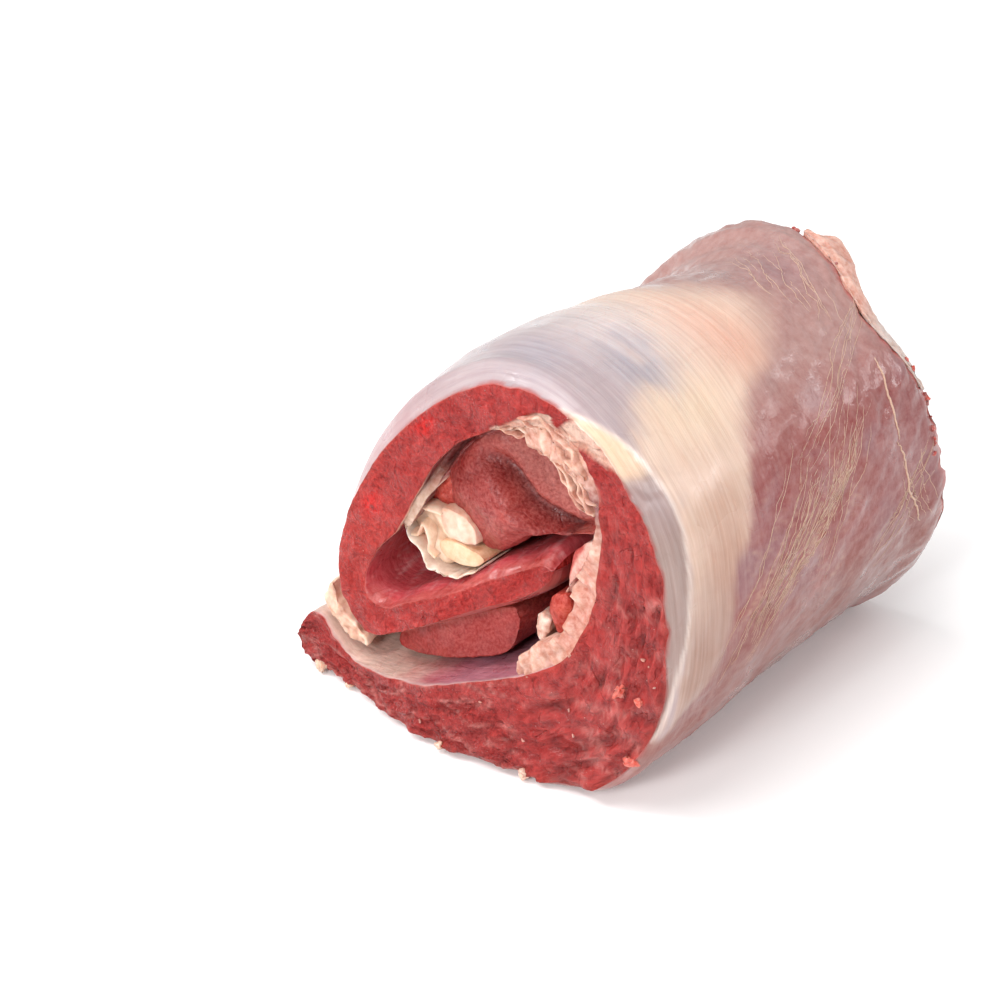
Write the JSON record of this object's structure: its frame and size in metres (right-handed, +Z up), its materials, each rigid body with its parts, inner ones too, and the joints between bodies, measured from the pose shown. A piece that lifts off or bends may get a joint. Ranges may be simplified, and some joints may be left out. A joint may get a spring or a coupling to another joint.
{
  "type": "raw veal flank",
  "caption": "Raw boneless veal flank, a thick sheet of muscle wound into a loose roll, with inner muscle layers and fat seams showing at the cut end.",
  "frame": {"origin": "on the table, at the centre of the roll's bounding box seen from above", "axes": "+Y along the roll from the front cut to the back cut, +Z up, +X to the right seen from the front cut"},
  "size_m": [0.1734, 0.1882, 0.1585],
  "materials": {
    "cut_muscle": "moist red muscle under thin pale silverskin",
    "inner_muscle": "moist dull red muscle",
    "white_fat": "soft pinkish white fat",
    "cream_fat": "soft cream fat"
  },
  "bodies": {
    "root": {"outer_muscle": "cut_muscle", "inner_core": "inner_muscle", "inner_side": "inner_muscle", "inner_flap": "inner_muscle", "fat_seam": "white_fat", "back_fat": "white_fat", "fat_fold": "cream_fat", "tail_fat": "cream_fat"}
  },
  "joints": []
}
